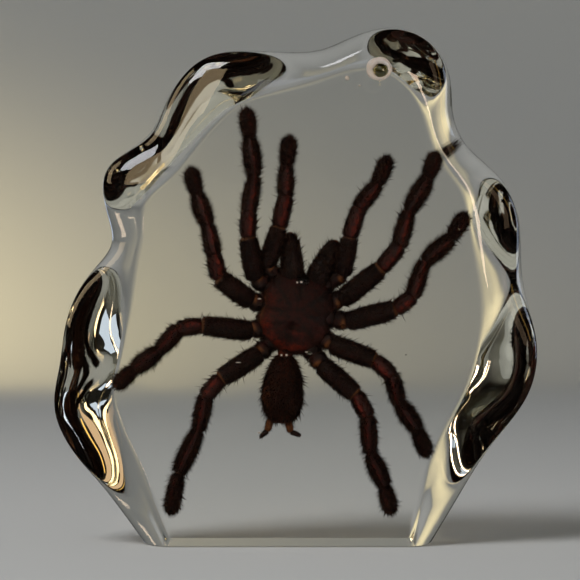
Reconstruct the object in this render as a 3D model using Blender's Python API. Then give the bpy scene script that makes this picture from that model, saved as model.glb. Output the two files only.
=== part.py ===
"""Free-form clear resin block, the carrier of a specimen sealed in its middle.

Units are metres, +Z is up, the block stands on its sawn base at Z = 0 and its front face looks
along -Y. X = 0 is the middle of its width and Y = 0 the middle of its thickness.
"""

import math

import bmesh
import bpy
import numpy as np

# Driving dimensions
MM = 0.001
THICKNESS = 35.0 * MM
FRONT_CREASE = math.radians(12.0)
BACK_CREASE = math.radians(15.0)
NECK_LEAN = 2.5 * MM
LOBE_LEAN = 10.0 * MM
LOBE_SLOPE_POWER = 1.5
STEPS_AROUND = 144
STEPS_FRONT = 4
STEPS_BACK = 7
SHARP_FROM_ANGLE = math.radians(16.0)
RESIN_COLOUR = (0.86, 0.87, 0.84, 0.35)
RESIN_IOR = 1.5
RESIN_ROUGHNESS = 0.03

# Stations of the loft in millimetres, clockwise from the lower left as seen from the front.
# Each row is the widest line of the rim (x, z), the edge of the flat faces beside it (x, z)
# and how far the widest line leans from mid thickness towards the back (negative: the front).
# The rows with z under 0 only carry the shape on past the plane where the base is sawn.
STATIONS_MM = (
    # Sawn foot, left side
    (-20, -22, -17, -22, -3),
    (-36, -14.5, -31, -14.5, -3),
    (-48.5, 0, -40.5, 0, -3),
    (-61, 17, -48, 18.5, -5),
    # Lower left lobe
    (-70, 28, -53, 29, -8),
    (-76.5, 42, -58.6, 44, -9.5),
    (-75, 56.5, -57.5, 56.5, -10),
    (-73, 70, -55, 68, -9.5),
    (-67.5, 83, -53, 79.5, -7.5),
    # Left neck
    (-60, 93, -51.2, 91, -3),
    (-59.3, 101, -49.8, 98, -2.5),
    # Upper left lobe
    (-61.3, 111, -49.7, 105.5, -6.5),
    (-58.5, 121, -46.5, 111.8, -8.5),
    (-47.5, 129.3, -38.5, 119, -7.5),
    # Shoulder
    (-41, 140.5, -29.5, 130, -8.5),
    (-33.5, 151, -20, 139.5, -9.5),
    (-20, 156.6, -9.5, 144, -8.5),
    (2, 156.8, 5, 147.6, -3.5),
    # Top lobe
    (15, 160.3, 15, 150.8, -3),
    (29, 164.2, 26.5, 152.3, -7),
    (42.5, 159.8, 36.5, 146.5, -8.5),
    (49.3, 149, 41.5, 138, -5.5),
    # Right neck
    (50.5, 138, 43.8, 130.5, -2.5),
    (55, 127, 47.7, 122, -2.5),
    # Upper right lobe
    (65, 117, 54, 113, -5),
    (71, 104, 56.8, 101.5, -8.5),
    (72.4, 88, 59.4, 87, -4.5),
    # Lower right lobe
    (74.6, 75, 60.8, 75, -5.5),
    (76.9, 62, 59.6, 62.5, -9.5),
    (73.5, 46.5, 55.5, 48.5, -10),
    (63, 32, 48.6, 35, -8.5),
    # Sawn foot, right side
    (54, 17.5, 41.8, 19, -4),
    (43.5, 0, 36.5, 0, -3),
    (32, -14.5, 28, -14.5, -3),
    (17, -22, 15, -22, -3),
    (-1, -24, -1, -24, -3),
)


def closed_spline(points, count):
    """Evenly numbered points on the smooth closed cubic curve through the given points.

    The tangents m solve m[i-1] + 4 m[i] + m[i+1] = 3 (p[i+1] - p[i-1]), which keeps the
    curvature continuous, and each span is the cubic Hermite blend of its ends.
    """
    n = len(points)
    identity = np.eye(n)
    system = 4 * identity + np.roll(identity, 1, axis=1) + np.roll(identity, -1, axis=1)
    chords = 3 * (np.roll(points, -1, axis=0) - np.roll(points, 1, axis=0))
    tangents = np.linalg.solve(system, chords)
    place = np.arange(count) * n / count
    start = place.astype(int) % n
    end = (start + 1) % n
    t = (place % 1)[:, None]
    return (
        (2 * t**3 - 3 * t**2 + 1) * points[start]
        + (t**3 - 2 * t**2 + t) * tangents[start]
        + (3 * t**2 - 2 * t**3) * points[end]
        + (t**3 - t**2) * tangents[end]
    )


def front_profile():
    """Shares of the way out and of the depth still to go, from the front face to the widest line.

    It is an arc that leaves the flat face at a slight crease and ends square to it.
    """
    turn = np.linspace(FRONT_CREASE, math.pi / 2, STEPS_FRONT + 1)[:, None]
    out = (np.sin(turn) - math.sin(FRONT_CREASE)) / (1 - math.sin(FRONT_CREASE))
    return out, np.cos(turn) / math.cos(FRONT_CREASE)


def back_profile(lean):
    """The same two shares from the back face to the widest line, one column for each station.

    A neck is rounded like the front. A lobe has a straighter slope, out = 1 - depth ** power,
    and the lean of the widest line towards the front says how much of each a station has.
    """
    depth = np.sin(np.linspace(math.pi / 2, 0, STEPS_BACK + 1))[:, None]
    arc = np.sqrt(1 - (depth * math.cos(BACK_CREASE)) ** 2)
    rounded = (arc - math.sin(BACK_CREASE)) / (1 - math.sin(BACK_CREASE))
    sloped = 1 - depth**LOBE_SLOPE_POWER
    share = np.clip((-lean - NECK_LEAN) / (LOBE_LEAN - NECK_LEAN), 0, 1)
    return rounded + (sloped - rounded) * share, depth


def resin_material():
    material = bpy.data.materials.new("clear_cast_resin")
    material.use_nodes = True
    shader = material.node_tree.nodes["Principled BSDF"]
    shader.inputs["Base Color"].default_value = RESIN_COLOUR[:3] + (1.0,)
    shader.inputs["Roughness"].default_value = RESIN_ROUGHNESS
    shader.inputs["Metallic"].default_value = 0.0
    shader.inputs["IOR"].default_value = RESIN_IOR
    shader.inputs["Transmission Weight"].default_value = 1.0
    material.diffuse_color = RESIN_COLOUR
    return material


def lofted_block():
    """The loft from the front face outline over the rim to the back face outline, faces filled."""
    stations = closed_spline(np.array(STATIONS_MM) * MM, STEPS_AROUND)
    widest, face, lean = stations[:, :2], stations[:, 2:4], stations[:, 4]
    middle = (widest[:, 0].min() + widest[:, 0].max()) / 2
    half = THICKNESS / 2
    out_front, left_front = front_profile()
    out_back, left_back = back_profile(lean)
    # The widest line is in both profiles, so the back one gives it up and runs the other way
    out = np.concatenate([out_front + 0 * lean, out_back[-2::-1]])
    y_front = lean - left_front * (half + lean)
    y_back = lean + left_back * (half - lean)
    y = np.concatenate([y_front, y_back[-2::-1]])
    block = bmesh.new()
    rings = []
    for share, depth in zip(out, y):
        ring = face + (widest - face) * share[:, None]
        rings.append([block.verts.new((x - middle, d, z)) for (x, z), d in zip(ring, depth)])
    for near, far in zip(rings, rings[1:]):
        for i in range(STEPS_AROUND):
            j = (i + 1) % STEPS_AROUND
            block.faces.new((near[i], far[i], far[j], near[j]))
    block.faces.new(rings[0])
    block.faces.new(rings[-1])
    bmesh.ops.recalc_face_normals(block, faces=block.faces)
    return block


def saw_base(block):
    """Cuts off everything below Z = 0 and closes the cut with one flat face."""
    everything = block.verts[:] + block.edges[:] + block.faces[:]
    bmesh.ops.bisect_plane(
        block, geom=everything, plane_co=(0, 0, 0), plane_no=(0, 0, 1), clear_inner=True
    )
    rim_of_cut = [edge for edge in block.edges if edge.is_boundary]
    bmesh.ops.edgeloop_fill(block, edges=rim_of_cut)
    bmesh.ops.recalc_face_normals(block, faces=block.faces)


def resin_block(collection):
    """The casting: two flat polished faces, a scalloped rounded rim and a sawn flat base."""
    block = lofted_block()
    saw_base(block)
    mesh = bpy.data.meshes.new("resin_block")
    block.to_mesh(mesh)
    block.free()
    mesh.shade_smooth()
    mesh.set_sharp_from_angle(angle=SHARP_FROM_ANGLE)
    mesh.materials.append(resin_material())
    piece = bpy.data.objects.new("resin_block", mesh)
    collection.objects.link(piece)
    return piece


for old in list(bpy.data.objects):
    bpy.data.objects.remove(old, do_unlink=True)

parts = bpy.data.collections.new("tarantula_in_resin_block")
bpy.context.scene.collection.children.link(parts)
resin_block(parts)
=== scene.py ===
"""A dried tarantula sealed in a free-form clear resin block, standing on a pale studio floor.

Units are metres, +Z is up and the block's front face looks along -Y. The spider lies flat in the
middle of the block with its back to the front face, so a place on it is (across, up) in millimetres.
"""

import math
from functools import partial

import bmesh
import bpy
import numpy as np
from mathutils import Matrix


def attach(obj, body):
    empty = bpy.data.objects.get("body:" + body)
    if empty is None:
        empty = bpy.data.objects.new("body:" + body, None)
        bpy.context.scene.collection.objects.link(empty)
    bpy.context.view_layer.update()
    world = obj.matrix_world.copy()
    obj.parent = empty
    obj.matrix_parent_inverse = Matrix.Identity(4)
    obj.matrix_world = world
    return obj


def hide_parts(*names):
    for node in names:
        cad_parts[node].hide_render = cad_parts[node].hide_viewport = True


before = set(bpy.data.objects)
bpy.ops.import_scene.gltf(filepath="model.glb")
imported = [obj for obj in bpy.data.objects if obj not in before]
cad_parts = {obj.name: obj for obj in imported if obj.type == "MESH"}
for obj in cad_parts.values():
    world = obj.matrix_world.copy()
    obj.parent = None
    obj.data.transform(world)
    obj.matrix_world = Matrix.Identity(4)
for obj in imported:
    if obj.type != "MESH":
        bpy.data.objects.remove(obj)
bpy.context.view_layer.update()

# Carapace: the hard shield over the spider's front body, of dried chitin, dark red-brown and redder
# at its thin edges, with grooves that run from a pit to the leg bases. It is one closed shell, and
# the legs, the jaws and the abdomen are joined to it.
MM = 0.001
# The middle of the shell as (across, up), and how far the spider's head leans to the right
BODY_MIDDLE = np.array([0.0, 73.0])
BODY_TILT = math.radians(13)
HEAD_WAY = np.array([math.sin(BODY_TILT), math.cos(BODY_TILT)])
RIGHT_WAY = np.array([math.cos(BODY_TILT), -math.sin(BODY_TILT)])
CARAPACE_HALF_WIDTH = 11.8
CARAPACE_HALF_LENGTH = 13.0
CARAPACE_HEIGHT = 4.6
CARAPACE_DEPTH = 3.4
HEAD_RISE = 1.3
PIT_DEPTH = 1.4
GROOVE_DEPTH = 0.9
RIPPLE_HEIGHT = 0.12


def linear(colour):
    """sRGB hex as linear RGBA: ((c + 0.055) / 1.055) ** 2.4, or c / 12.92 for the darkest."""
    c = np.array([int(colour[i : i + 2], 16) for i in (1, 3, 5)]) / 255
    return (*np.where(c > 0.04045, ((c + 0.055) / 1.055) ** 2.4, c / 12.92), 1.0)


def add_node(material, kind, sockets, **settings):
    """Adds a node with its settings. A socket is given a value, or another socket to link from."""
    node = material.node_tree.nodes.new(kind)
    for name, value in settings.items():
        setattr(node, name, value)
    for name, value in sockets.items():
        if isinstance(value, bpy.types.NodeSocket):
            material.node_tree.links.new(value, node.inputs[name])
        else:
            node.inputs[name].default_value = value
    return node


def new_material(name):
    """A material with no nodes yet."""
    material = bpy.data.materials.new(name)
    material.use_nodes = True
    material.node_tree.nodes.clear()
    return material


def body_place(ahead, right):
    """(across, up) of a place on the front body: so far ahead and right along its tilted axes."""
    return BODY_MIDDLE + np.multiply.outer(ahead, HEAD_WAY) + np.multiply.outer(right, RIGHT_WAY)


def bell(value, middle, width):
    """A bell curve: 1 where the value is at its middle, and 1 / e at one width to either side."""
    return np.exp(-(((value - middle) / width) ** 2))


def grid(along, around):
    """Two arrays, along and turn, for each step along at each of so many even turns round."""
    return np.meshgrid(along, np.arange(around) * math.tau / around, indexing="ij")


def ring_quads(rows, around):
    """Quads between neighbouring rings of points, which are numbered ring after ring."""
    here = np.arange((rows - 1) * around).reshape(rows - 1, around)
    beside = np.roll(here, -1, axis=1)
    return np.stack([here, beside, beside + around, here + around], axis=-1).reshape(-1, 4)


def skin(rings, start, end):
    """Points, quads and triangles of a closed skin over rings of points, an array (rings, round, 3),
    with a fan to each end point.

    The rings run right-handed about the way from start to end, so that the faces point outwards.
    """
    rows, around = rings.shape[:2]
    first = np.arange(around)
    last = first + (rows - 1) * around
    pole = np.full(around, rows * around)
    near = np.stack([np.roll(first, -1), first, pole], axis=-1)
    far = np.stack([last, np.roll(last, -1), pole + 1], axis=-1)
    points = np.concatenate([rings.reshape(-1, 3), [start, end]])
    return points, ring_quads(rows, around), np.concatenate([near, far])


def new_piece(name, skins, material, slot=None, **attributes):
    """One object of several skins, in millimetres, that rides on the block. The slot is not used.
    An attribute, which the material reads, is a list of floats for the points of each skin, or one
    float for all of them."""
    starts = np.cumsum([0] + [len(points) for points, _, _ in skins])
    points = np.concatenate([points for points, _, _ in skins])
    quads = np.concatenate([quads + start for (_, quads, _), start in zip(skins, starts)])
    triangles = np.concatenate([corners + start for (_, _, corners), start in zip(skins, starts)])
    mesh = bpy.data.meshes.new(name)
    mesh.from_pydata(points * MM, [], quads.tolist() + triangles.tolist())
    mesh.shade_smooth()
    for label, values in attributes.items():
        layer = mesh.attributes.new(label, "FLOAT", "POINT")
        each = np.full(len(points), values) if np.isscalar(values) else np.concatenate(values)
        layer.data.foreach_set("value", each.astype(np.float32))
    mesh.materials.append(material)
    piece = bpy.data.objects.new(name, mesh)
    bpy.context.scene.collection.objects.link(piece)
    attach(piece, "root")
    return piece


def chitin_material(name, dark, red, tan, wrinkle_mm, relief_mm, roughness):
    """Dried chitin: dark, red where light soaks through it (the attribute "red", which also carries
    painted light and shade: less red in the carapace's grooves, and redder on the middle of a leg
    segment's front than at its sides), and tan at the thin skin of a joint ("tan"). Fine wrinkles and
    pits break up its waxy shine, and the red comes and goes in mottles four wrinkles wide."""
    material = new_material(name)
    place = add_node(material, "ShaderNodeTexCoord", {}).outputs["Object"]
    redness = add_node(material, "ShaderNodeAttribute", {}, attribute_name="red").outputs["Fac"]
    tanness = add_node(material, "ShaderNodeAttribute", {}, attribute_name="tan").outputs["Fac"]
    mottle = add_node(
        material,
        "ShaderNodeTexNoise",
        {"Vector": place, "Scale": 1 / (4 * wrinkle_mm * MM), "Detail": 5.0, "Roughness": 0.65},
    ).outputs["Fac"]
    patches = add_node(
        material,
        "ShaderNodeMapRange",
        {"Value": mottle, "From Min": 0.36, "From Max": 0.62, "To Min": 0.15},
    ).outputs["Result"]
    red_share = add_node(
        material, "ShaderNodeMath", {0: patches, 1: redness}, operation="MULTIPLY"
    ).outputs[0]
    reddened = add_node(
        material,
        "ShaderNodeMix",
        {"Factor": red_share, "A": linear(dark), "B": linear(red)},
        data_type="RGBA",
    )
    coloured = add_node(
        material,
        "ShaderNodeMix",
        {"Factor": tanness, "A": reddened.outputs["Result"], "B": linear(tan)},
        data_type="RGBA",
    ).outputs["Result"]
    wrinkles = add_node(
        material,
        "ShaderNodeTexNoise",
        {"Vector": place, "Scale": 1 / (wrinkle_mm * MM), "Detail": 4.0, "Roughness": 0.6},
    ).outputs["Fac"]
    relief = add_node(
        material,
        "ShaderNodeBump",
        {"Height": wrinkles, "Strength": 0.7, "Distance": relief_mm * MM},
    ).outputs["Normal"]
    shader = add_node(
        material,
        "ShaderNodeBsdfPrincipled",
        {"Base Color": coloured, "Roughness": roughness, "Specular IOR Level": 0.25, "Normal": relief},
    )
    add_node(material, "ShaderNodeOutputMaterial", {"Surface": shader.outputs["BSDF"]})
    return material


def carapace_point(along, turn):
    """The shell: along runs 0 to 1 from the top over the rim to the underside, turn is the angle.

    The rim is a superellipse, blunt at the head and round behind, drawn in between the leg bases
    by a cosine. Top and underside are a little fuller than half ellipsoids, the head rises over
    the rest, radial grooves and a pit are pressed in with cosine and bell curves, and two sines
    give it ripples.
    """
    lift = np.cos(along * math.pi)
    out = np.sin(along * math.pi) ** 0.8
    power = 2.9 + 0.9 * np.cos(turn)
    round_off = (np.abs(np.cos(turn)) ** power + np.abs(np.sin(turn)) ** power) ** (-1 / power)
    waist = 1 - 0.10 * np.cos(turn) ** 3 - 0.03 * np.cos(8 * turn) * np.sin(turn) ** 2
    ahead = CARAPACE_HALF_LENGTH * out * np.cos(turn) * round_off
    right = CARAPACE_HALF_WIDTH * out * np.sin(turn) * round_off * waist
    head = bell(ahead, 6.5, 5.5) * bell(right, 0.0, 5.0)
    pit = bell(ahead, -4.2, 1.0) * bell(right, 0.0, 1.8)
    groove = np.cos(4 * turn + 0.4 * np.sin(turn)) ** 8 * out**2 * (1 - out**6)
    ripple = np.sin(1.9 * ahead + 0.8 * np.sin(1.3 * right)) * np.sin(1.7 * right + 0.5 * ahead) * out
    relief = HEAD_RISE * head - PIT_DEPTH * pit - GROOVE_DEPTH * groove + RIPPLE_HEIGHT * ripple
    height = np.where(lift > 0, CARAPACE_HEIGHT * lift + relief, CARAPACE_DEPTH * lift)
    place = body_place(ahead, right)
    return np.stack([place[..., 0], -height, place[..., 1]], axis=-1)


def carapace():
    """The shell as one skin, with its redness, strongest along its rear margin and at its left and
    less in spokes over the grooves, which paints shade into them, and its tan, a line along the left edge."""
    along, turn = grid(np.linspace(0.02, 0.98, 80), 144)
    rings = carapace_point(along, turn)
    top = carapace_point(np.array(0.0), np.array(0.0))
    underside = carapace_point(np.array(1.0), np.array(0.0))
    shell = skin(rings, top, underside)
    from_middle = shell[0][:, [0, 2]] - BODY_MIDDLE
    ahead = from_middle @ HEAD_WAY
    right = from_middle @ RIGHT_WAY
    left_patch = bell(right, -8.0, 2.6) * bell(ahead, -6.5, 3.0)
    left_edge = bell(right, -9.0, 2.2) * bell(ahead, 1.0, 7.0)
    margin = np.hypot(ahead / CARAPACE_HALF_LENGTH, right / CARAPACE_HALF_WIDTH)
    rear_patch = bell(right, -0.5, 5.5) * bell(margin, 0.84, 0.09) * (ahead < 0)
    middle_patch = bell(right, 2.2, 2.4) * bell(ahead, -6.2, 0.7)
    # Painted shade: spokes of less red over the grooves, where shade falls in them
    painted_groove_shade = np.cos(4 * np.arctan2(right, ahead)) ** 6 * np.clip(np.hypot(ahead, right) / 5, 0, 1)
    redness = (0.2 + 0.35 * left_edge) * (1 - 0.75 * painted_groove_shade)
    redness = redness + 0.6 * left_patch + 1.2 * rear_patch + 0.8 * middle_patch
    tanness = 0.35 * bell(right, -10.6, 0.6) * bell(ahead, -0.5, 4.5)
    return shell, np.clip(redness, 0, 1), tanness


carapace_chitin = chitin_material(
    "dried_chitin_satin", "#100807", "#7E2510", "#9A6436", wrinkle_mm=0.4, relief_mm=0.3, roughness=0.42
)
carapace_shell, carapace_red, carapace_tan = carapace()
new_piece(
    "carapace",
    [carapace_shell],
    carapace_chitin,
    "dried_tarantula",
    red=[carapace_red],
    tan=[carapace_tan],
)

# Legs and pedipalps: hollow jointed tubes of the same chitin. Each is coxa, trochanter, femur,
# patella, tibia, metatarsus and tarsus (a pedipalp has no metatarsus), thick in the middle and
# pinched at the joints, where a thin pale skin shows. Dry legs have sunken lengthwise hollows.
SEGMENTS = ("coxa", "trochanter", "femur", "patella", "tibia", "metatarsus", "tarsus")
# Thickness in mm at the near end, the middle and the far end, how red the segment is, and how
# much of its thickness the rounding of its ends takes
SEGMENT_SHAPES = {
    "coxa": (5.4, 6.8, 6.4, 0.10, 0.30),
    "trochanter": (6.2, 6.3, 5.8, 0.10, 0.30),
    "femur": (5.4, 6.4, 4.9, 0.10, 0.28),
    "palp_coxa": (5.2, 6.0, 5.4, 0.10, 0.30),
    "palp_trochanter": (5.2, 5.3, 4.9, 0.10, 0.25),
    "palp_femur": (4.7, 5.8, 4.4, 0.10, 0.28),
    "patella": (4.4, 5.2, 4.3, 0.65, 0.28),
    "tibia": (4.0, 4.8, 3.3, 0.50, 0.28),
    "metatarsus": (2.5, 5.0, 3.0, 0.35, 0.30),
    "tarsus": (2.7, 4.5, 3.8, 0.30, 0.50),
    "chelicera": (7.4, 7.2, 3.6, 0.05, 0.60),
    "spinneret_base": (2.3, 2.4, 1.9, 0.90, 0.35),
    "spinneret_tip": (1.7, 1.6, 0.8, 0.10, 0.45),
}
# For each limb: where its coxa starts, so far ahead and right of the body's middle; then its joints
# as (across, up) in mm, from the far end of the trochanter to the tip
LIMBS = {
    "pedipalp_left": (
        (7.0, -3.0),
        ((-9.2, 88.0), (-5.2, 101.0), (-3.2, 110.5), (-3.0, 120.0), (-2.0, 129.0)),
    ),
    "leg_left_1": (
        (4.5, -4.5),
        ((-12.8, 84.2), (-15.2, 97.5), (-15.0, 105.5), (-13.2, 116.5), (-14.7, 129.0), (-15.7, 138.0)),
    ),
    "leg_left_2": (
        (1.0, -5.0),
        ((-14.2, 77.0), (-24.4, 84.3), (-26.0, 91.5), (-28.0, 101.0), (-31.6, 111.0), (-33.6, 119.0)),
    ),
    "leg_left_3": (
        (-2.5, -5.0),
        ((-14.0, 67.5), (-30.0, 69.3), (-37.3, 68.3), (-43.5, 61.3), (-51.5, 55.5), (-57.5, 50.0)),
    ),
    "leg_left_4": (
        (-6.5, -3.5),
        ((-11.5, 60.3), (-24.0, 52.3), (-28.7, 46.8), (-31.0, 36.0), (-37.5, 22.0), (-40.0, 9.5)),
    ),
    "pedipalp_right": (
        (7.0, 3.0),
        ((15.0, 85.5), (17.2, 97.5), (20.0, 106.5), (26.0, 114.3), (29.5, 122.5)),
    ),
    "leg_right_1": (
        (4.5, 4.5),
        ((14.5, 77.3), (27.3, 87.5), (33.0, 94.5), (36.0, 105.5), (42.3, 116.3), (45.0, 124.0)),
    ),
    "leg_right_2": (
        (1.0, 5.0),
        ((16.5, 70.5), (32.0, 74.5), (37.2, 78.5), (41.0, 89.5), (49.7, 97.0), (54.2, 104.5)),
    ),
    "leg_right_3": (
        (-2.5, 5.0),
        ((11.5, 63.3), (25.3, 58.2), (30.6, 53.5), (33.0, 44.5), (39.0, 36.0), (42.0, 28.0)),
    ),
    "leg_right_4": (
        (-6.5, 3.5),
        ((8.3, 56.7), (19.2, 47.2), (23.0, 40.5), (23.8, 28.5), (28.5, 18.0), (30.5, 9.5)),
    ),
}
# How far each joint stands off the spider's middle plane in mm, towards its back when negative:
# the knees are the highest and the feet lie low
JOINT_DEPTHS = (1.5, 0.5, -0.5, -3.5, -4.0, -0.5, 1.5, 2.0)
PEDIPALP_DEPTHS = (1.5, 0.5, -0.5, -3.0, -3.5, -0.5, 1.0)
# The coxa's share of the way to the trochanter's far end, how far a segment runs on past a joint as
# a share of its thickness there, and how deep a segment is for its width
COXA_SHARE = 0.66
JOINT_OVERLAP = 0.18
FLATNESS = 0.9
RINGS_PER_MM = 2.2


def unit(vectors):
    """The same vectors at length 1."""
    return vectors / np.linalg.norm(vectors, axis=-1, keepdims=True)


def limb_segments(base, joints, depths):
    """Each segment of one limb as (kind, near end, far end), the ends in mm."""
    start = body_place(*base)
    first = np.array(joints[0])
    flat = [start, start + COXA_SHARE * (first - start), *np.array(joints)]
    ends = [np.array([x, depth, z]) for (x, z), depth in zip(flat, depths)]
    kinds = SEGMENTS
    if len(ends) < len(SEGMENTS) + 1:
        kinds = ("palp_coxa", "palp_trochanter", "palp_femur", "patella", "tibia", "tarsus")
    return list(zip(kinds, ends, ends[1:]))


def segment_point(segment, along, turn):
    """A point on a limb segment: along runs 0 to 1 from its near to its far end, turn goes round.

    The middle line is straight and overlaps both joints a little. The thickness is a parabola
    through its three sizes, closed at both ends by quarter circles, flattened by a tenth from
    front to back and drawn in by four lengthwise hollows and five shallow twisted ones.
    """
    kind, near, far = segment
    thick_near, thick_middle, thick_far, _, rounding = SEGMENT_SHAPES[kind]
    length = np.linalg.norm(far - near)
    way = unit(far - near)
    side = unit(np.cross(way, [0.0, 1.0, 0.0]))
    other = np.cross(way, side)
    overlap = JOINT_OVERLAP * min(thick_near, thick_far)
    swell = 4 * along * (1 - along)
    thick = thick_near + (thick_far - thick_near) * along
    thick = thick + (thick_middle - (thick_near + thick_far) / 2) * swell
    cap = np.clip(np.minimum(along, 1 - along) * length / (rounding * thick), 0, 1)
    radius = thick / 2 * np.sqrt(1 - (1 - cap) ** 2)
    hollows = 1 - 0.07 * swell * np.cos(2 * turn) ** 6 - 0.02 * np.cos(5 * turn + 9 * along)
    reach = -overlap + (length + 2 * overlap) * along
    return (
        near
        + reach[..., None] * way
        + (radius * hollows * np.cos(turn))[..., None] * side
        + (FLATNESS * radius * hollows * np.sin(turn))[..., None] * other
    )


def segment_skin(segment):
    """A segment's skin, its redness in a streak along the back, with a broad faint band of painted light
    on the middle of the side that faces the front and painted shade at its sides, and its tan: the joint
    skin at both ends, a ring at a femur's far end, a patch on a trochanter and all of a spinneret's root."""
    kind, near, far = segment
    rows = max(12, int(np.linalg.norm(far - near) * RINGS_PER_MM))
    steps = (1 - np.cos(np.linspace(0.04, 0.96, rows) * math.pi)) / 2
    along, turn = grid(steps, 32)
    rings = segment_point(segment, along, turn)
    start = segment_point(segment, np.array([0.0]), np.array([0.0]))[0]
    end = segment_point(segment, np.array([1.0]), np.array([0.0]))[0]
    # Painted light and shade: a narrow red stripe along the back, and a broad faint band that makes the
    # middle of the front-facing side redder than its sides
    stripe_and_painted_shading = bell(np.sin(turn - 0.35), 1.0, 0.06) + 0.16 * bell(np.sin(turn), 1.0, 0.45)
    redness = SEGMENT_SHAPES[kind][3] * (0.12 + stripe_and_painted_shading * (4 * along * (1 - along)) ** 0.7)
    joint_skin = np.clip((along - 0.95) / 0.04, 0, 1) + np.clip((0.04 - along) / 0.04, 0, 1)
    tanness = 0.5 * joint_skin
    if kind.endswith("femur"):
        tanness = tanness + 0.6 * bell(along, 0.94, 0.012)
    if kind.endswith("trochanter"):
        tanness = 0.75 * bell(np.sin(turn - 0.5), 1.0, 0.2) * bell(along, 0.72, 0.1)
    if kind == "spinneret_base":
        tanness = np.full(along.shape, 0.6)
    # The two end points come last in a skin, and are neither red nor tan
    plain = np.zeros(2)
    return (
        skin(rings, start, end),
        np.concatenate([redness.ravel(), plain]),
        np.concatenate([tanness.ravel(), plain]),
    )


limb_chitin = chitin_material(
    "dried_chitin_leg", "#1A0F0D", "#8A2714", "#94592C", wrinkle_mm=0.35, relief_mm=0.15, roughness=0.48
)
limbs = {}


def new_limb(name, segments):
    """One limb of several segments, kept for the hair that grows on it later."""
    skins, reds, tans = zip(*[segment_skin(segment) for segment in segments])
    limbs[name] = segments
    new_piece(name, skins, limb_chitin, "dried_tarantula", red=reds, tan=tans)


for limb_name, (limb_base, limb_joints) in LIMBS.items():
    limb_depths = PEDIPALP_DEPTHS if limb_name.startswith("pedipalp") else JOINT_DEPTHS
    new_limb(limb_name, limb_segments(limb_base, limb_joints, limb_depths))

# Chelicerae and fangs: the two heavy black jaws stand out ahead of the carapace and have splayed
# apart in drying. Each ends in a hooked black fang that lies folded back under it.
CHELICERAE = {
    # Near and far end in mm
    "chelicera_left": ((-0.8, -0.4, 82.0), (-1.9, 0.4, 98.6)),
    "chelicera_right": ((5.6, -0.4, 81.5), (12.8, 0.4, 96.0)),
}
# Where a fang's root lies from its jaw's far end, and how deep its bow is
FANG_ROOT = np.array([0.0, 2.8, -1.8])
FANG_BOW = 2.4
FANG_THICKNESS = 1.9
FANG_LENGTH = 8.0


def fang(root, towards):
    """A hook: its middle line is three eighths of an ellipse under the jaw, its thickness runs out
    to a point as the square root of what is left of the way."""
    along, turn = grid(np.linspace(0, 0.97, 26), 16)
    back = np.array([towards[0], 0.0, towards[1]])
    across = np.array([towards[1], 0.0, -towards[0]])
    under = np.array([0.0, 1.0, 0.0])
    bend = along * 0.75 * math.pi
    middle = (
        root
        + (FANG_LENGTH / 2 * (1 - np.cos(bend)))[..., None] * back
        + (FANG_BOW * np.sin(bend))[..., None] * under
    )
    way = unit(
        FANG_LENGTH / 2 * np.sin(bend)[..., None] * back + FANG_BOW * np.cos(bend)[..., None] * under
    )
    other = np.cross(way, across)
    radius = FANG_THICKNESS / 2 * np.sqrt(1 - along)
    rings = middle + radius[..., None] * (
        np.cos(turn)[..., None] * across + np.sin(turn)[..., None] * other
    )
    return skin(rings, middle[0, 0] - 0.3 * way[0, 0], middle[-1, 0] + 0.4 * way[-1, 0])


fang_chitin = chitin_material(
    "dried_chitin_fang", "#0B0706", "#3A120A", "#3A120A", wrinkle_mm=0.8, relief_mm=0.05, roughness=0.2
)
for jaw_name, jaw_ends in CHELICERAE.items():
    jaw_near, jaw_far = np.array(jaw_ends)
    new_limb(jaw_name, [("chelicera", jaw_near, jaw_far)])
    jaw_way = unit((jaw_near - jaw_far)[[0, 2]])
    fang_skin = fang(jaw_far + FANG_ROOT, jaw_way)
    fang_name = jaw_name.replace("chelicera", "fang")
    new_piece(fang_name, [fang_skin], fang_chitin, "dried_tarantula", red=0.0, tan=0.0)

# Eyes: a low mound at the front of the carapace carries eight bead eyes in two rows. They are glassy
# lenses of the same chitin as the shell that they grow in, black in a dried spider.
EYE_MOUND = (10.4, 0.0)
EYE_MOUND_HALF_SIZES = np.array([2.3, 1.0, 1.5])
EYE_RISE = 0.1
EYES = (
    # Ahead of the mound's middle, out to either side of it, and radius, in mm
    (0.45, 0.48, 0.34),
    (0.50, 1.30, 0.26),
    (-0.35, 0.85, 0.24),
    (-0.30, 1.60, 0.28),
)


def bead(centre, radii, rows=14, around=20):
    """An ellipsoid, its poles front and back."""
    along, turn = grid(np.linspace(0, math.pi, rows + 2)[1:-1], around)
    ball = np.stack([np.sin(along) * np.cos(turn), -np.cos(along), -np.sin(along) * np.sin(turn)], axis=-1)
    pole = np.array([0.0, radii[1], 0.0])
    return skin(centre + ball * radii, centre - pole, centre + pole)


def carapace_top(ahead, right):
    """Depth of the carapace's back at a place on it, from the nearest point of its own surface."""
    points = carapace_shell[0]
    back = points[points[:, 1] < 0]
    gap = np.linalg.norm(back[:, [0, 2]] - body_place(ahead, right), axis=1)
    return back[gap.argmin(), 1]


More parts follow.
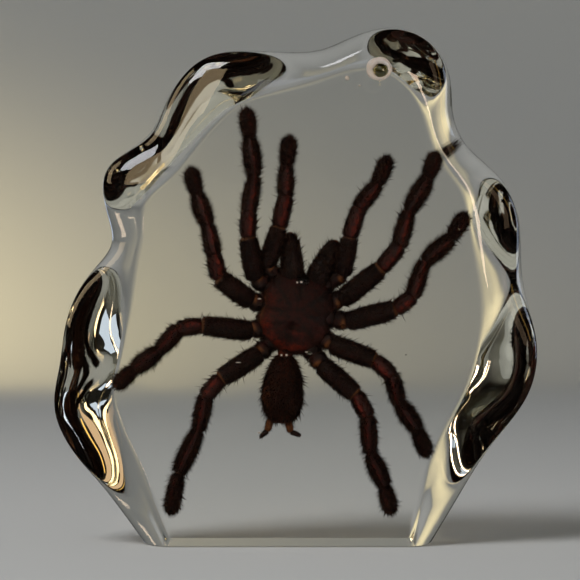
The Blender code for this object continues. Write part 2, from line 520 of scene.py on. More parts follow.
mound_across, mound_up = body_place(*EYE_MOUND)
mound_depth = carapace_top(*EYE_MOUND)
mound = bead(np.array([mound_across, mound_depth, mound_up]), EYE_MOUND_HALF_SIZES)
new_piece("eye_mound", [mound], carapace_chitin, "dried_tarantula", red=0.0, tan=0.0)
eye_beads = []
for eye_ahead, eye_right, eye_radius in EYES:
    for side in (-1, 1):
        eye_across, eye_up = body_place(EYE_MOUND[0] + eye_ahead, EYE_MOUND[1] + side * eye_right)
        mound_slope = math.sqrt(1 - (eye_right / EYE_MOUND_HALF_SIZES[0]) ** 2)
        eye_depth = mound_depth - EYE_MOUND_HALF_SIZES[1] * mound_slope - EYE_RISE
        eye_place = np.array([eye_across, eye_depth, eye_up])
        eye_beads.append(bead(eye_place, np.full(3, eye_radius), rows=8, around=12))
eye_lens = chitin_material(
    "eye_lens_glossy", "#0A0807", "#0A0807", "#0A0807", wrinkle_mm=0.8, relief_mm=0.0, roughness=0.05
)
new_piece("eyes", eye_beads, eye_lens, "dried_tarantula", red=0.0, tan=0.0)

# Sternum and labium: the flat heart-shaped plate between the leg bases on the underside, with the
# lip ahead of it. They show from the back of the block.
PLATES = (
    # Ahead of the body's middle, half length and half width, in mm
    (-0.5, 6.2, 4.9),
    (6.4, 1.4, 1.7),
)
PLATE_HALF_DEPTH = 1.3
PLATE_DEPTH = CARAPACE_DEPTH - 0.2
plates = []
for plate_ahead, plate_half_length, plate_half_width in PLATES:
    plate_across, plate_up = body_place(plate_ahead, 0.0)
    plate_middle = np.array([plate_across, PLATE_DEPTH, plate_up])
    plate_half_sizes = np.array([plate_half_width, PLATE_HALF_DEPTH, plate_half_length])
    plate = bead(plate_middle, plate_half_sizes, rows=20, around=40)
    # Narrower towards the rear, as a heart is
    low = (plate_up - plate[0][:, 2]) / plate_half_length
    plate[0][:, 0] = plate_across + (plate[0][:, 0] - plate_across) * (1 - 0.3 * np.clip(low, 0, 1))
    plates.append(plate)
new_piece("sternum_and_labium", plates, carapace_chitin, "dried_tarantula", red=0.4, tan=0.0)

# Abdomen: a soft hairy sac that has shrunk to lengthwise folds in drying. It hangs on the thin
# pedicel behind the carapace, is redder at its rear and left, and has two pairs of pale book lung
# covers on its underside.
ABDOMEN_TOP = np.array([-3.6, 0.4, 61.0])
ABDOMEN_BOTTOM = np.array([-4.6, 1.2, 37.9])
ABDOMEN_HALF_WIDTH = 5.8
LUNG_COVERS_ACROSS = (-6.6, -1.2)
LUNG_COVERS_UP = (55.5, 50.5)
PEDICEL_MIDDLE = np.array([-3.2, 0.2, 60.8])
PEDICEL_HALF_SIZES = np.array([2.6, 1.6, 2.8])


def abdomen_point(along, turn):
    """Half width as a power of sin(pi along ** 1.3) that falls from 0.50 to 0.35 along the way,
    nine tenths as deep, with folds from three cosines round it."""
    sac = np.sin(math.pi * along**1.3) ** (0.50 - 0.15 * along)
    folds = 1 + 0.045 * np.cos(7 * turn + 3 * along) + 0.03 * np.cos(13 * turn - 5 * along)
    folds = folds + 0.03 * np.cos(3 * turn + 11 * along)
    radius = (0.35 + ABDOMEN_HALF_WIDTH * sac) * folds
    middle = ABDOMEN_TOP + along[..., None] * (ABDOMEN_BOTTOM - ABDOMEN_TOP)
    round_it = np.stack([-np.cos(turn), 0.9 * np.sin(turn), 0 * turn], axis=-1)
    return middle + radius[..., None] * round_it


def abdomen():
    """The sac as one skin, with its redness and with the tan of its lung covers and left side."""
    steps = (1 - np.cos(np.linspace(0.03, 0.97, 60) * math.pi)) / 2
    along, turn = grid(steps, 72)
    sac = skin(abdomen_point(along, turn), ABDOMEN_TOP, ABDOMEN_BOTTOM)
    across, depth, up = sac[0].T
    left = np.clip((-across - 7.0) / 3.0, 0, 1) * np.clip((56 - up) / 10, 0, 1)
    rear = np.clip((41.5 - up) / 3.0, 0, 1)
    shoulder = bell(across, -3.6, 2.0) * bell(up, 57.0, 4.0)
    redness = np.clip(0.15 + 0.8 * left + 0.45 * rear + 0.35 * shoulder, 0, 1)
    lungs = sum(bell(across, x, 1.5) for x in LUNG_COVERS_ACROSS)
    lungs = lungs * sum(bell(up, z, 1.1) for z in LUNG_COVERS_UP)
    return sac, redness, 0.6 * lungs * (depth > 0) + 0.25 * left


abdomen_chitin = chitin_material(
    "dried_skin_abdomen", "#2A1B15", "#8E3A1E", "#A9794C", wrinkle_mm=0.45, relief_mm=0.2, roughness=0.6
)
abdomen_skin, abdomen_red, abdomen_tan = abdomen()
new_piece("abdomen", [abdomen_skin], abdomen_chitin, "dried_tarantula", red=[abdomen_red], tan=[abdomen_tan])
pedicel = bead(PEDICEL_MIDDLE, PEDICEL_HALF_SIZES)
new_piece("pedicel", [pedicel], abdomen_chitin, "dried_tarantula", red=0.6, tan=0.0)

# Spinnerets: a pair of short jointed fingers of the legs' chitin at the abdomen's tip, orange-brown
# at the root. They have dried splayed apart.
SPINNERETS = {
    # Root, joint and tip in mm
    "spinneret_left": ((-8.0, 1.0, 39.2), (-9.0, 0.6, 35.6), (-11.4, 0.2, 33.4)),
    "spinneret_right": ((-2.4, 1.0, 38.6), (-1.6, 0.6, 35.2), (1.6, 0.2, 34.0)),
}
for spinneret_name, spinneret_joints in SPINNERETS.items():
    root, joint, tip = np.array(spinneret_joints)
    new_limb(spinneret_name, [("spinneret_base", root, joint), ("spinneret_tip", joint, tip)])

# Hair: short brown hair covers the legs and jaws, lies along them towards the foot and makes their
# soft edge, with single long bristles that stand off. The abdomen's is longer and points back.
# A real hair is about 0.05 mm thick. It is drawn at 0.13 mm, and a bristle at 0.32, so that it shows.
HAIR_THICKNESS = 0.13
BRISTLE_THICKNESS = 0.32
# How deep a hair is rooted, and how far it strays from its way as a share of its length
HAIR_ROOT_DEPTH = 0.05
HAIR_STRAY = 0.22
draws = np.random.default_rng(20)


def spikes(roots, ways, lengths, thickness):
    """A three-sided spike on each root: three points round the root and one at the tip."""
    aside = unit(np.cross(ways, draws.normal(size=ways.shape)))
    other = np.cross(ways, aside)
    turn = np.arange(3)[:, None] * math.tau / 3
    ring = np.cos(turn) * aside[:, None] + np.sin(turn) * other[:, None]
    base = roots[:, None] + ring * thickness / 2
    tips = roots + ways * lengths[:, None]
    points = np.concatenate([base, tips[:, None]], axis=1).reshape(-1, 3)
    corners = np.array([[0, 1, 3], [1, 2, 3], [2, 0, 3], [0, 2, 1]])
    triangles = (4 * np.arange(len(roots))[:, None, None] + corners).reshape(-1, 3)
    return points, np.empty((0, 4), int), triangles


def hair_on(surface, count, length, lift, first=0.0, last=1.0, bald=0.0):
    """Roots, ways and lengths of hair on surface(along, turn): even in its two parameters, each hair
    leaning from the surface's own way along it to its outward normal by about the angle lift, and
    0.4 to 1.7 times the given length, mostly short. A stripe of bald radians to either side of the
    back stays bare."""
    along = first + (last - first) * draws.random(count)
    turn = math.pi / 2 + bald + (math.tau - 2 * bald) * draws.random(count)
    step = 0.002
    roots = surface(along, turn)
    way = unit(surface(np.minimum(along + step, 1), turn) - surface(along - step, turn))
    round_it = surface(along, turn + step) - roots
    outward = unit(np.cross(round_it, way))
    rise = lift * (0.7 + 0.6 * draws.random(count))[:, None]
    stray = HAIR_STRAY * draws.normal(size=(count, 3))
    ways = unit(np.cos(rise) * way + np.sin(rise) * outward + stray)
    lengths = length * (0.4 + 1.3 * draws.random(count) ** 2)
    return roots - HAIR_ROOT_DEPTH * outward, ways, lengths


def hair_material():
    """Tarantula hair: dull brown, lighter and redder at the thin tips in the light, so the colour
    varies from tuft to tuft by a noise of about a millimetre."""
    material = new_material("tarantula_hair_matte")
    place = add_node(material, "ShaderNodeTexCoord", {}).outputs["Object"]
    tufts = add_node(
        material, "ShaderNodeTexNoise", {"Vector": place, "Scale": 1 / (1.2 * MM), "Detail": 3.0}
    ).outputs["Fac"]
    share = add_node(
        material, "ShaderNodeMapRange", {"Value": tufts, "From Min": 0.35, "From Max": 0.7}
    ).outputs["Result"]
    colour = add_node(
        material,
        "ShaderNodeMix",
        {"Factor": share, "A": linear("#1A110E"), "B": linear("#4A2B1B")},
        data_type="RGBA",
    ).outputs["Result"]
    shader = add_node(
        material,
        "ShaderNodeBsdfPrincipled",
        {"Base Color": colour, "Roughness": 0.65, "Specular IOR Level": 0.2},
    )
    add_node(material, "ShaderNodeOutputMaterial", {"Surface": shader.outputs["BSDF"]})
    return material


# Short hairs for each square millimetre, their length in mm, their lift off the surface and the
# half angle of the bald stripe along the back, both in radians, by segment
SEGMENT_HAIR = {
    "coxa": (6, 0.9, 0.7, 0.5),
    "trochanter": (6, 0.9, 0.7, 0.6),
    "femur": (11, 1.1, 0.6, 0.0),
    "palp_coxa": (6, 0.9, 0.7, 0.5),
    "palp_trochanter": (6, 0.9, 0.7, 0.6),
    "palp_femur": (11, 1.1, 0.6, 0.0),
    "patella": (9, 1.1, 0.65, 0.5),
    "tibia": (13, 1.5, 0.75, 0.35),
    "metatarsus": (16, 1.7, 0.8, 0.3),
    "tarsus": (18, 1.5, 0.85, 0.0),
    "chelicera": (10, 1.2, 0.4, 0.0),
    "spinneret_base": (8, 0.8, 0.6, 0.0),
    "spinneret_tip": (8, 0.7, 0.6, 0.0),
}
# The part of a segment's length that hair grows on: the joint skin at both ends is bare, and more
# of it on a femur, but the tip of a foot isn't
HAIRY_FROM = 0.05
HAIRY_TO = 0.94
HAIRY_FEMUR_TO = 0.88
BRISTLES_PER_MM = 8.0
BRISTLE_LENGTH = 2.0
BRISTLE_LIFT = 0.9
BRISTLY_FROM = 0.08
BRISTLY_TO = 0.95
tarantula_hair = hair_material()


def limb_hair(segments):
    """Short hair and bristles for all segments of one limb, as two sets of spikes."""
    short, long = [], []
    for segment in segments:
        kind, near, far = segment
        length = np.linalg.norm(far - near)
        per_area, hair_length, lift, bald = SEGMENT_HAIR[kind]
        count = int(per_area * length * math.pi * SEGMENT_SHAPES[kind][1])
        surface = partial(segment_point, segment)
        last = HAIRY_TO
        if kind == "tarsus":
            last = 1.0
        if kind.endswith("femur"):
            last = HAIRY_FEMUR_TO
        short.append(hair_on(surface, count, hair_length, lift, HAIRY_FROM, last, bald))
        if not kind.startswith("spinneret"):
            count = int(BRISTLES_PER_MM * length)
            long.append(hair_on(surface, count, BRISTLE_LENGTH, BRISTLE_LIFT, BRISTLY_FROM, BRISTLY_TO))
    tufts = [spikes(*[np.concatenate(column) for column in zip(*short)], HAIR_THICKNESS)]
    if long:
        tufts.append(spikes(*[np.concatenate(column) for column in zip(*long)], BRISTLE_THICKNESS))
    return tufts


for limb_name, segments in limbs.items():
    new_piece("hair_of_" + limb_name, limb_hair(segments), tarantula_hair, "tarantula_hair")
abdomen_down = hair_on(abdomen_point, count=9000, length=1.5, lift=0.55, first=0.06, last=0.97)
abdomen_hair = [spikes(*abdomen_down, HAIR_THICKNESS)]
abdomen_bristles = hair_on(abdomen_point, count=1500, length=2.2, lift=0.8, first=0.06, last=0.97)
abdomen_hair.append(spikes(*abdomen_bristles, BRISTLE_THICKNESS))
new_piece("hair_of_abdomen", abdomen_hair, tarantula_hair, "tarantula_hair")
rim_fringe = hair_on(carapace_point, count=6000, length=1.1, lift=0.6, first=0.34, last=0.62)
carapace_hair = [spikes(*rim_fringe, HAIR_THICKNESS)]
back_down = hair_on(carapace_point, count=3500, length=0.6, lift=0.35, first=0.08, last=0.4)
carapace_hair.append(spikes(*back_down, HAIR_THICKNESS))
new_piece("hair_of_carapace_rim", carapace_hair, tarantula_hair, "tarantula_hair")

# Resin block: one casting of clear resin, ground and polished to two flat faces and a scalloped
# rim, and sawn flat at the foot. The rim's lobes slope back, so that they mirror the spider and
# what is beside the block, and the necks between them stay clear.
THICKNESS = 35.0
FRONT_CREASE = math.radians(12)
BACK_CREASE = math.radians(15)
NECK_LEAN = 2.5
LOBE_LEAN = 10.0
LOBE_SLOPE_POWER = 1.5
# Stations of the loft in mm, clockwise from the lower left: the rim's widest line (across, up), the
# edge of the flat faces beside it (across, up), and how far the widest line leans from mid thickness
# towards the back. Rows with up under 0 only carry the shape on past the plane of the sawn base.
STATIONS = (
    (-20, -22, -17, -22, -3),
    (-36, -14.5, -31, -14.5, -3),
    (-48.5, 0, -40.5, 0, -3),
    (-61, 17, -48, 18.5, -5),
    (-70, 28, -53, 29, -8),
    (-76.5, 42, -58.6, 44, -9.5),
    (-75, 56.5, -57.5, 56.5, -10),
    (-73, 70, -55, 68, -9.5),
    (-67.5, 83, -53, 79.5, -7.5),
    (-60, 93, -51.2, 91, -3),
    (-59.3, 101, -49.8, 98, -2.5),
    (-61.3, 111, -49.7, 105.5, -6.5),
    (-58.5, 121, -46.5, 111.8, -8.5),
    (-47.5, 129.3, -38.5, 119, -7.5),
    (-41, 140.5, -29.5, 130, -8.5),
    (-33.5, 151, -20, 139.5, -9.5),
    (-20, 156.6, -9.5, 144, -8.5),
    (2, 156.8, 5, 147.6, -3.5),
    (15, 160.3, 15, 150.8, -3),
    (29, 164.2, 26.5, 152.3, -7),
    (42.5, 159.8, 36.5, 146.5, -8.5),
    (49.3, 149, 41.5, 138, -5.5),
    (50.5, 138, 43.8, 130.5, -2.5),
    (55, 127, 47.7, 122, -2.5),
    (65, 117, 54, 113, -5),
    (71, 104, 56.8, 101.5, -8.5),
    (72.4, 88, 59.4, 87, -4.5),
    (74.6, 75, 60.8, 75, -5.5),
    (76.9, 62, 59.6, 62.5, -9.5),
    (73.5, 46.5, 55.5, 48.5, -10),
    (63, 32, 48.6, 35, -8.5),
    (54, 17.5, 41.8, 19, -4),
    (43.5, 0, 36.5, 0, -3),
    (32, -14.5, 28, -14.5, -3),
    (17, -22, 15, -22, -3),
    (-1, -24, -1, -24, -3),
)
# How far along their profiles the two creases beside the flat faces are eased
FRONT_EASE = math.radians(3)
BACK_EASE = 0.02
BLOCK_STEPS_AROUND = 1080
BLOCK_STEPS_DEEP = 34
EASE_STEPS = 5
SHARP_FROM_ANGLE = math.radians(30)


def closed_spline(points, count):
    """Evenly numbered points on the smooth closed cubic curve through the given points.

    The tangents m solve m[i-1] + 4 m[i] + m[i+1] = 3 (p[i+1] - p[i-1]), which keeps the
    curvature continuous, and each span is the cubic Hermite blend of its ends.
    """
    n = len(points)
    identity = np.eye(n)
    system = 4 * identity + np.roll(identity, 1, axis=1) + np.roll(identity, -1, axis=1)
    tangents = np.linalg.solve(system, 3 * (np.roll(points, -1, axis=0) - np.roll(points, 1, axis=0)))
    place = np.arange(count) * n / count
    start = place.astype(int) % n
    end = (start + 1) % n
    t = (place % 1)[:, None]
    return (
        (2 * t**3 - 3 * t**2 + 1) * points[start]
        + (t**3 - 2 * t**2 + t) * tangents[start]
        + (3 * t**2 - 2 * t**3) * points[end]
        + (t**3 - t**2) * tangents[end]
    )


def block_rings():
    """Rings of points from the front face's outline over the rim to the back face's outline.

    The front quarter of the rim is an arc that leaves the face at a slight crease. The back
    quarter is an arc too at a neck, and out = 1 - depth ** power at a lobe.
    """
    stations = closed_spline(np.array(STATIONS), BLOCK_STEPS_AROUND)
    widest, face, lean = stations[:, :2], stations[:, 2:4], stations[:, 4]
    half = THICKNESS / 2
    turn = np.linspace(FRONT_CREASE + FRONT_EASE, math.pi / 2, BLOCK_STEPS_DEEP + 1)[:, None]
    out_front = (np.sin(turn) - math.sin(FRONT_CREASE)) / (1 - math.sin(FRONT_CREASE)) + 0 * lean
    y_front = lean - np.cos(turn) / math.cos(FRONT_CREASE) * (half + lean)
    depth = np.sin(np.linspace(0, math.asin(1 - BACK_EASE), BLOCK_STEPS_DEEP + 1))[1:, None]
    arc = np.sqrt(1 - (depth * math.cos(BACK_CREASE)) ** 2)
    rounded = (arc - math.sin(BACK_CREASE)) / (1 - math.sin(BACK_CREASE))
    sloped = 1 - depth**LOBE_SLOPE_POWER
    share = np.clip((-lean - NECK_LEAN) / (LOBE_LEAN - NECK_LEAN), 0, 1)
    out_back = rounded + (sloped - rounded) * share
    y_back = lean + depth * (half - lean)
    # Each crease is eased by a parabola from as far inside the face as the profile starts outside
    ease = np.linspace(0, 1, EASE_STEPS, endpoint=False)[:, None]
    out_near = out_front[0] * (2 * ease - 1)
    y_near = -half + (y_front[0] + half) * ease**2
    out_far = (out_back[-1] * (2 * ease - 1))[::-1]
    y_far = half + ((y_back[-1] - half) * ease**2)[::-1]
    out = np.concatenate([out_near, out_front, out_back, out_far])
    y = np.concatenate([y_near, y_front, y_back, y_far])
    middle = (widest[:, 0].min() + widest[:, 0].max()) / 2
    flat = face + (widest - face) * out[..., None]
    return np.stack([flat[..., 0] - middle, y, flat[..., 1]], axis=-1)


def sawn(mesh):
    """Closes the front and the back, saws off what is below the floor and closes the cut, each with
    one flat face."""
    block = bmesh.new()
    block.from_mesh(mesh)
    bmesh.ops.edgeloop_fill(block, edges=[edge for edge in block.edges if edge.is_boundary])
    everything = block.verts[:] + block.edges[:] + block.faces[:]
    bmesh.ops.bisect_plane(block, geom=everything, plane_co=(0, 0, 0), plane_no=(0, 0, 1), clear_inner=True)
    bmesh.ops.edgeloop_fill(block, edges=[edge for edge in block.edges if edge.is_boundary])
    bmesh.ops.recalc_face_normals(block, faces=block.faces)
    block.to_mesh(mesh)
    block.free()


def resin_material():
    """Clear casting resin, polished: a faint warm tint in the depth, and a hand-polished skin with
    shallow waves 14 mm long, a few hundredths of a millimetre high, that die out at the flat base."""
    material = new_material("clear_casting_resin_polished")
    place = add_node(material, "ShaderNodeTexCoord", {}).outputs["Object"]
    waves = add_node(
        material,
        "ShaderNodeTexNoise",
        {"Vector": place, "Scale": 1 / (14 * MM), "Detail": 1.0},
    ).outputs["Fac"]
    height = add_node(material, "ShaderNodeSeparateXYZ", {"Vector": place}).outputs["Z"]
    share = add_node(
        material, "ShaderNodeMapRange", {"Value": height, "From Min": 0.0, "From Max": 12 * MM}
    ).outputs["Result"]
    swell = add_node(material, "ShaderNodeMath", {0: waves, 1: share}, operation="MULTIPLY").outputs[0]
    relief = add_node(
        material,
        "ShaderNodeBump",
        {"Height": swell, "Strength": 0.25, "Distance": 0.3 * MM},
    ).outputs["Normal"]
    shader = add_node(
        material,
        "ShaderNodeBsdfPrincipled",
        {
            "Base Color": linear("#FFFFFF"),
            "Roughness": 0.0,
            "IOR": 1.5,
            "Transmission Weight": 1.0,
            "Normal": relief,
        },
    )
    depth = add_node(
        material,
        "ShaderNodeVolumeAbsorption",
        {"Color": linear("#F4F3E6"), "Density": 9.0},
    )
    add_node(
        material,
        "ShaderNodeOutputMaterial",
        {"Surface": shader.outputs["BSDF"], "Volume": depth.outputs["Volume"]},
    )
    return material


# Clear air bubbles that the resin set round: place and half sizes in mm
BUBBLES = (
    ((26.6, -15.8, 149.9), (2.6, 0.6, 2.4)),
    ((4.2, -7.0, 60.6), (1.0, 0.5, 0.6)),
    ((52.0, -4.0, 100.0), (0.3, 0.3, 0.3)),
    ((35.0, -8.0, 60.0), (0.25, 0.25, 0.25)),
    ((-69.5, -9.0, 76.0), (0.5, 0.5, 0.4)),
    ((-70.4, -9.0, 74.6), (0.4, 0.4, 0.4)),
    ((-73.5, -9.5, 54.4), (0.4, 0.5, 0.5)),
)


def bubble(centre, half_sizes):
    """A sealed hollow: a bead turned inside out, so that its faces point out of the resin."""
    points, quads, triangles = bead(np.array(centre), np.array(half_sizes), around=28)
    return points, quads[:, ::-1], triangles[:, ::-1]


polished_resin = resin_material()
rings = block_rings()
block_skin = (rings.reshape(-1, 3), ring_quads(*rings.shape[:2]), np.empty((0, 3), int))
resin_piece = new_piece("cast_resin_block", [block_skin], polished_resin, "clear_resin")
sawn(resin_piece.data)
resin_piece.data.set_sharp_from_angle(angle=SHARP_FROM_ANGLE)
# The three flat faces are the only ones with more than four corners
for face in resin_piece.data.polygons:
    face.use_smooth = len(face.vertices) < 5
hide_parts("resin_block")
bubbles = [bubble(centre, half_sizes) for centre, half_sizes in BUBBLES]
new_piece("air_bubbles", bubbles, polished_resin, "clear_resin")

# Painted highlight and glints: white pieces in the resin that stand in for reflections of the lamps. A
# ring just under the front face, round a clear bubble, paints a highlight. Most glint specks cling to the
# spider.
HIGHLIGHT_RING_MIDDLE = np.array([26.5, -15.9, 150.0])
HIGHLIGHT_RING_RADII = (3.2, 2.9)
HIGHLIGHT_RING_STEPS_ROUND = 72
HIGHLIGHT_RING_STEPS_ACROSS = 20
# Painted glints: small white specks where the lamps glint on and beside the spider
PAINTED_GLINT_SPECKS = (
    # Place and half sizes in mm
    ((16.4, -6.0, 148.0), (0.7, 0.4, 0.8)),
    ((20.3, -6.0, 145.6), (0.4, 0.3, 0.35)),
    ((-4.5, -6.4, 59.9), (0.34, 0.3, 0.34)),
    ((-2.9, -6.4, 59.9), (0.4, 0.3, 0.34)),
    ((3.4, -7.4, 60.9), (0.5, 0.2, 0.2)),
    ((-18.2, -8.2, 57.6), (0.9, 0.3, 0.16)),
    ((-11.5, -7.0, 77.8), (0.6, 0.3, 0.2)),
    ((0.5, -8.6, 83.0), (0.34, 0.3, 0.34)),
    ((1.8, -8.6, 83.1), (0.42, 0.3, 0.34)),
    ((-11.6, -2.0, 35.0), (0.55, 0.4, 0.3)),
)


def painted_highlight_ring_skin():
    """A torus flattened front to back, thickest at its upper left by a cosine of the way round, and
    slightly uneven by a finer one."""
    around, turn = grid(
        np.arange(HIGHLIGHT_RING_STEPS_ROUND) * math.tau / HIGHLIGHT_RING_STEPS_ROUND, HIGHLIGHT_RING_STEPS_ACROSS
    )
    thick = 0.85 + 0.35 * np.cos(around - 2.4) + 0.08 * np.cos(5 * around)
    out = 1 + thick * np.cos(turn) / np.mean(HIGHLIGHT_RING_RADII)
    across = HIGHLIGHT_RING_RADII[0] * out * np.cos(around)
    up = HIGHLIGHT_RING_RADII[1] * out * np.sin(around)
    points = HIGHLIGHT_RING_MIDDLE + np.stack([across, 0.6 * thick * np.sin(turn), up], axis=-1)
    points = points.reshape(-1, 3)
    # One ring more than there are, which is the first one again
    quads = ring_quads(HIGHLIGHT_RING_STEPS_ROUND + 1, HIGHLIGHT_RING_STEPS_ACROSS) % len(points)
    return points, quads, np.empty((0, 3), int)


def painted_highlight_material():
    """Painted highlights and glints: warm white, satin, a little cloudy from place to place."""
    material = new_material("painted_highlight_white")
    place = add_node(material, "ShaderNodeTexCoord", {}).outputs["Object"]
    clouds = add_node(
        material, "ShaderNodeTexNoise", {"Vector": place, "Scale": 1 / (0.8 * MM), "Detail": 3.0}
    ).outputs["Fac"]
    colour = add_node(
        material,
        "ShaderNodeMix",
        {"Factor": clouds, "A": linear("#FFFFFF"), "B": linear("#FFEEDC")},
        data_type="RGBA",
    ).outputs["Result"]
    shader = add_node(material, "ShaderNodeBsdfPrincipled", {"Base Color": colour, "Roughness": 0.3})
    add_node(material, "ShaderNodeOutputMaterial", {"Surface": shader.outputs["BSDF"]})
    return material


glint_and_highlight_white = painted_highlight_material()
# A white ring that paints a lamp's highlight just under the front face
new_piece("painted_highlight_ring", [painted_highlight_ring_skin()], glint_and_highlight_white)
# White specks that paint glints
specks = [
    bead(np.array(centre), np.array(half_sizes), rows=8, around=16) for centre, half_sizes in PAINTED_GLINT_SPECKS
]
new_piece("painted_glint_specks", specks, glint_and_highlight_white)

# Studio: a pale floor that sweeps up all round, a soft overhead light and a small warm one, and the
# camera at the photograph's angle. A dark card round the sides and front gives the rim its dark
# lenses, and glowing cards give it its bright lines.
SWEEP_FLOOR_RADIUS = 1.2
SWEEP_BEND_RADIUS = 0.7
SWEEP_HEIGHT = 1.2
# The block stands a little over the floor, so that their faces don't share a plane
SWEEP_GAP = 0.0003
SWEEP_STEPS = 96
CARD_STEPS_TO_SIDE = 12
CARD_STEPS_UP = 8
CARDS_AIM = np.array([0.0, 0.0, 0.08])
DARK_CARD_DISTANCE = 1.0
GLOWING_CARD_DISTANCE = 0.9
GLOWING_CARDS = (
    # Name, degrees to the side, degrees up, light, colour and strength
    ("cool_window", (55, 70), (-4, 25), "cool_daylight", "#C4D0E6", 2.0),
    ("warm_lamp_left", (-95, -70), (10, 50), "warm_light_left", "#FFE2B4", 2.6),
    ("peach_card_right", (106, 120), (4, 36), "peach_light", "#E6C29C", 1.0),
    ("gold_lamp_right", (91, 97), (8, 36), "gold_light", "#FFCB6E", 1.5),
    ("warm_lamp_front", (-160, -136), (20, 50), "warm_light_front", "#FFE0B0", 3.2),
    ("sky_window_front", (171, 186), (15, 33), "sky_light", "#C9D6F0", 1.2),
    ("warm_spot", (156, 164), (2, 23), "warm_light_spot", "#FFE2C8", 11.0),
)


def staged(name, points, faces, material):
    """An object that isn't part of the model, in metres."""
    mesh = bpy.data.meshes.new(name)
    mesh.from_pydata(points, [], faces)
    mesh.shade_smooth()
    mesh.materials.append(material)
    thing = bpy.data.objects.new(name, mesh)
    bpy.context.scene.collection.objects.link(thing)
    return thing


def sweep():
    """A round floor that turns up smoothly into a wall: its profile is a line, a quarter circle
    and a line, turned about the vertical."""
    bend = np.linspace(0, math.pi / 2, 16)
    arc = SWEEP_FLOOR_RADIUS + SWEEP_BEND_RADIUS * np.sin(bend)
    radii = np.concatenate([[0.02, 0.5], arc, arc[-1:]])
    heights = np.concatenate([[0.0, 0.0], SWEEP_BEND_RADIUS * (1 - np.cos(bend)), [SWEEP_HEIGHT]])
    radius, turn = grid(radii, SWEEP_STEPS)
    height = grid(heights - SWEEP_GAP, SWEEP_STEPS)[0]
    points = np.stack([radius * np.cos(turn), radius * np.sin(turn), height], axis=-1)
    faces = ring_quads(len(radii), SWEEP_STEPS)[:, ::-1].tolist()
    faces.append(list(range(SWEEP_STEPS)))
    return points.reshape(-1, 3), faces


def matte_material(name, colour):
    """Uncoated paper: one even colour that scatters the light and has no shine."""
    material = new_material(name)
    shader = add_node(material, "ShaderNodeBsdfPrincipled", {"Base Color": linear(colour), "Roughness": 0.9})
    add_node(material, "ShaderNodeOutputMaterial", {"Surface": shader.outputs["BSDF"]})
    return material


def glow_material(name, colour, strength):
    """A card lit from behind: it gives off an even light, and shows as a clean bright line."""
    material = new_material(name)
    shader = add_node(material, "ShaderNodeEmission", {"Color": linear(colour), "Strength": strength})
    add_node(material, "ShaderNodeOutputMaterial", {"Surface": shader.outputs["Emission"]})
    return material


def card(name, sides, rises, distance, material):
    """A curved card round the block: a patch of a sphere between two angles to the side, from
    straight behind the block towards the right, and two up from the middle of the block."""
    side, rise = np.meshgrid(
        np.radians(np.linspace(*sides, CARD_STEPS_TO_SIDE + 1)),
        np.radians(np.linspace(*rises, CARD_STEPS_UP + 1)),
        indexing="ij",
    )
    ball = np.stack([np.sin(side) * np.cos(rise), np.cos(side) * np.cos(rise), np.sin(rise)], axis=-1)
    points = CARDS_AIM + distance * ball
    here = np.arange(side.size).reshape(side.shape)[:-1, :-1]
    beside = here + CARD_STEPS_UP + 1
    faces = np.stack([here, here + 1, beside + 1, beside], axis=-1).reshape(-1, 4).tolist()
    thing = staged(name, points.reshape(-1, 3), faces, material)
    thing.visible_camera = False
    thing.visible_diffuse = False
    thing.visible_shadow = False
    return thing


def dark_card_material():
    """Very dark brown card, and paler towards the floor, so that the rim's dark ends softly."""
    material = new_material("dark_card_matte")
    place = add_node(material, "ShaderNodeTexCoord", {}).outputs["Object"]
    height = add_node(material, "ShaderNodeSeparateXYZ", {"Vector": place}).outputs["Z"]
    share = add_node(
        material,
        "ShaderNodeMapRange",
        {"Value": height, "From Min": 0.16, "From Max": 0.42},
        interpolation_type="SMOOTHSTEP",
    ).outputs["Result"]
    colour = add_node(
        material,
        "ShaderNodeMix",
        {"Factor": share, "A": linear("#A3A199"), "B": linear("#1A100A")},
        data_type="RGBA",
    ).outputs["Result"]
    shader = add_node(material, "ShaderNodeBsdfPrincipled", {"Base Color": colour, "Roughness": 0.9})
    add_node(material, "ShaderNodeOutputMaterial", {"Surface": shader.outputs["BSDF"]})
    return material


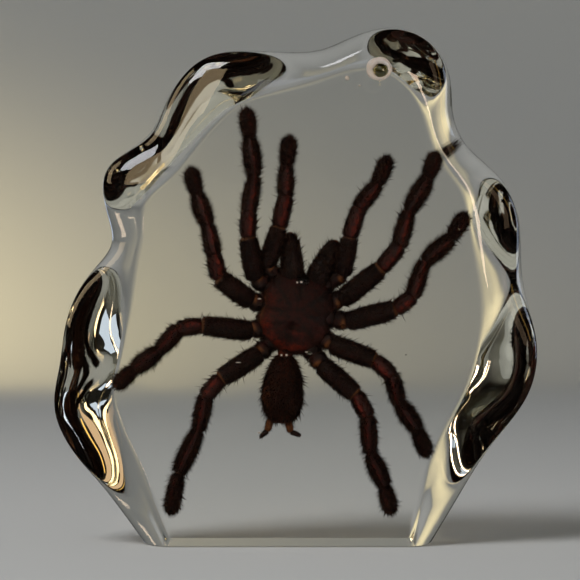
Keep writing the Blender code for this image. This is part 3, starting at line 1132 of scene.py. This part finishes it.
pale_sweep = staged("pale_sweep", *sweep(), matte_material("pale_paper_matte", "#CBCCC8"))
pale_sweep.visible_glossy = False
dark_card = card("dark_card_around", (52, 308), (5, 88), DARK_CARD_DISTANCE, dark_card_material())
dark_card.visible_glossy = False
for card_name, card_sides, card_rises, light_name, light_colour, strength in GLOWING_CARDS:
    glow = glow_material(light_name, light_colour, strength)
    card(card_name, card_sides, card_rises, GLOWING_CARD_DISTANCE, glow)

world = bpy.data.worlds.new("soft_daylight")
world.use_nodes = True
daylight = world.node_tree.nodes["Background"]
daylight.inputs["Color"].default_value = linear("#DDE0E2")
daylight.inputs["Strength"].default_value = 0.18
world.cycles_visibility.glossy = False
bpy.context.scene.world = world


def softbox(name, place, aim, size, power, colour):
    """A square lamp, its side in metres and its power in watts, turned to shine from place to aim."""
    light = bpy.data.lights.new(name, "AREA")
    light.shape = "SQUARE"
    light.size = size
    light.energy = power
    light.color = linear(colour)[:3]
    lamp = bpy.data.objects.new(name, light)
    lamp.location = place
    towards = np.array(aim) - np.array(place)
    spin = math.atan2(-towards[0], towards[1])
    tilt = math.atan2(math.hypot(towards[0], towards[1]), -towards[2])
    lamp.rotation_euler = (tilt, 0.0, spin)
    lamp.visible_camera = False
    bpy.context.scene.collection.objects.link(lamp)
    return lamp


softbox("softbox_overhead", (-0.7, -0.6, 1.3), (0.0, 0.3, 0.0), 0.7, 14.5, "#FBFBFF")
wall_lamp = softbox("softbox_left_wall", (-0.85, 1.2, 0.75), (-0.5, 1.4, 0.05), 0.3, 1.5, "#FFE9B0")
wall_lamp.data.spread = math.radians(70)
bpy.context.scene.view_settings.view_transform = "Standard"

# The middle of the photograph's frame as (across, up) in mm. The lens, in mm, makes the frame 187 mm
# wide at the spider.
FRAME_MIDDLE = (-1.8, 80.6)
CAMERA_DISTANCE = 0.7
CAMERA_LENS = 134.7
camera_data = bpy.data.cameras.new("camera")
camera_data.sensor_width = 36.0
camera_data.lens = CAMERA_LENS
camera = bpy.data.objects.new("camera", camera_data)
camera.location = (FRAME_MIDDLE[0] * MM, -CAMERA_DISTANCE, FRAME_MIDDLE[1] * MM)
camera.rotation_euler = (math.pi / 2, 0.0, 0.0)
bpy.context.scene.collection.objects.link(camera)
bpy.context.scene.camera = camera
bpy.context.scene.cycles.max_bounces = 20
bpy.context.scene.cycles.transmission_bounces = 20
bpy.context.scene.cycles.glossy_bounces = 12
